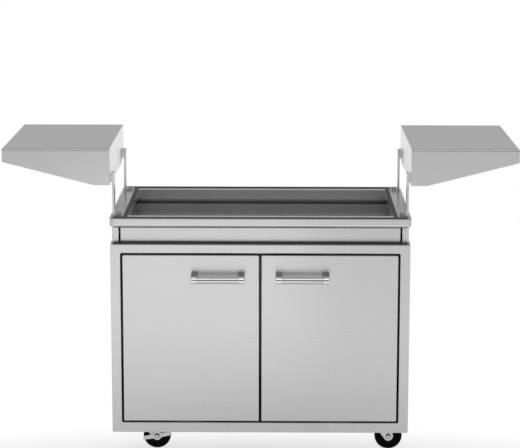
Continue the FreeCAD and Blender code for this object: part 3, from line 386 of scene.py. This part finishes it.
def rivet_panel(name, tree, panel, spaces, body):
    """Rivets round the back face of one panel, as a plain mesh that rides on a body."""
    low, high = (Vector(corner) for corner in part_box(panel))
    along, up = spaces
    width = high.x - low.x - 2 * RIVET_INSET
    spacing = width / along
    sizes = {"Width": width, "Height": up * spacing, "Spacing": spacing, "Head Diameter": RIVET_DIAMETER,
             "Head Height": RIVET_HEIGHT, "Middle": ((low.x + high.x) / 2, high.y, (low.z + high.z) / 2)}
    piece = bpy.data.objects.new(name, bpy.data.meshes.new(name))
    bpy.context.scene.collection.objects.link(piece)
    modifier = piece.modifiers.new("rivets", "NODES")
    modifier.node_group = tree
    for item in tree.interface.items_tree:
        if item.in_out == "INPUT":
            modifier[item.identifier] = sizes[item.name]
    grown = piece.evaluated_get(bpy.context.evaluated_depsgraph_get())
    mesh = bpy.data.meshes.new_from_object(grown)
    piece.modifiers.clear()
    piece.data = mesh
    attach(piece, body)


def rivets(finish):
    """The rivets that hold the back panel and the two door liners."""
    tree = rivet_tree(finish)
    rivet_panel("back_rivets", tree, "back_panel", BACK_RIVETS, "cabinet")
    for side in ("left", "right"):
        rivet_panel(f"{side}_door_rivets", tree, f"{side}_door_liner", DOOR_RIVETS, f"{side}_door")


# Stage, light and camera

def floor_finish():
    """Pale paint that takes shadows in front of the doors and is seen as plain white further off."""
    material = bpy.data.materials.new("floor")
    material.use_nodes = True
    tree = material.node_tree
    tree.nodes.clear()
    place, _ = object_place(tree)
    place = node(tree, "ShaderNodeMapping", {"Vector": place, "Scale": GREY_SHAPE}).outputs["Vector"]
    distance = node(tree, "ShaderNodeVectorMath", {0: place, 1: GREY_MIDDLE}, operation="DISTANCE")
    away = spread(tree, distance.outputs["Value"], WHITE_FROM, WHITE_BY, LEAST_WHITE, 1.0)
    path = node(tree, "ShaderNodeLightPath").outputs
    seen = math_node(tree, "ADD", path["Is Camera Ray"], path["Is Glossy Ray"])
    seen = math_node(tree, "ADD", seen, path["Is Transmission Ray"], clamp=True)
    pale = node(tree, "ShaderNodeBsdfDiffuse", {"Color": FLOOR_PALE})
    white = node(tree, "ShaderNodeEmission", {"Strength": 1.0})
    mixed = node(tree, "ShaderNodeMixShader", {0: math_node(tree, "MULTIPLY", away, seen),
                                               1: pale.outputs["BSDF"], 2: white.outputs["Emission"]})
    output = node(tree, "ShaderNodeOutputMaterial")
    tree.links.new(mixed.outputs["Shader"], output.inputs["Surface"])
    return material


def pale_floor():
    """A wide level floor under the object."""
    mesh = bpy.data.meshes.new("floor")
    corners = [(-FLOOR_SIDE, FLOOR_FRONT, 0), (FLOOR_SIDE, FLOOR_FRONT, 0),
               (FLOOR_SIDE, FLOOR_BACK, 0), (-FLOOR_SIDE, FLOOR_BACK, 0)]
    mesh.from_pydata(corners, [], [(0, 1, 2, 3)])
    mesh.materials.append(floor_finish())
    floor = bpy.data.objects.new("floor", mesh)
    bpy.context.scene.collection.objects.link(floor)


def studio_sky():
    """The studio round the object: dim in front, between floor and lamp, and half bright elsewhere."""
    world = bpy.data.worlds.new("studio")
    bpy.context.scene.world = world
    world.use_nodes = True
    tree = world.node_tree
    along = parts_of(tree, node(tree, "ShaderNodeTexCoord").outputs["Generated"])
    ahead = spread(tree, along["Y"], DIM_BY, DIM_FROM, 1.0, 0.0)
    under_lamp = spread(tree, along["Z"], LAMP_FROM, LAMP_BY, 1.0, 0.0)
    dim = math_node(tree, "MULTIPLY", ahead, under_lamp)
    strength = spread(tree, dim, 0.0, 1.0, SKY_ROUND, SKY_FRONT)
    background = tree.nodes["Background"].inputs
    background["Color"].default_value = (1, 1, 1, 1)
    tree.links.new(strength, background["Strength"])


def soft_box(name, place, target, width, height, watts):
    """A large soft lamp aimed at a point."""
    light = bpy.data.lights.new(name, "AREA")
    light.shape = "RECTANGLE"
    light.size, light.size_y = width, height
    light.energy = watts
    lamp = bpy.data.objects.new(name, light)
    bpy.context.scene.collection.objects.link(lamp)
    lamp.location = place
    toward = Vector(target) - Vector(place)
    lamp.rotation_euler = toward.to_track_quat("-Z", "Y").to_euler()
    lamp.visible_camera = False


def light_up():
    """Plain soft studio light: a broad lamp overhead in front and a weak one low at the front left."""
    soft_box("overhead", **OVERHEAD_LAMP)
    soft_box("front_left", **LOW_LEFT_LAMP)


def photo_camera():
    """The camera at the photograph's viewing angle."""
    data = bpy.data.cameras.new("camera")
    data.sensor_width = SENSOR_WIDTH
    data.lens = SENSOR_WIDTH * FOCAL_PIXELS / PHOTO_WIDTH
    camera = bpy.data.objects.new("camera", data)
    bpy.context.scene.collection.objects.link(camera)
    camera.location = CAMERA_PLACE
    turns = (90 - CAMERA_PITCH, CAMERA_ROLL, CAMERA_YAW)
    camera.rotation_euler = [math.radians(turn) for turn in turns]
    bpy.context.scene.camera = camera


finish_of_slot = finishes()
dress_nodes(finish_of_slot)
rivets(finish_of_slot["zinc_plate"])
pale_floor()
studio_sky()
light_up()
photo_camera()
bpy.context.scene.view_settings.view_transform = "Standard"
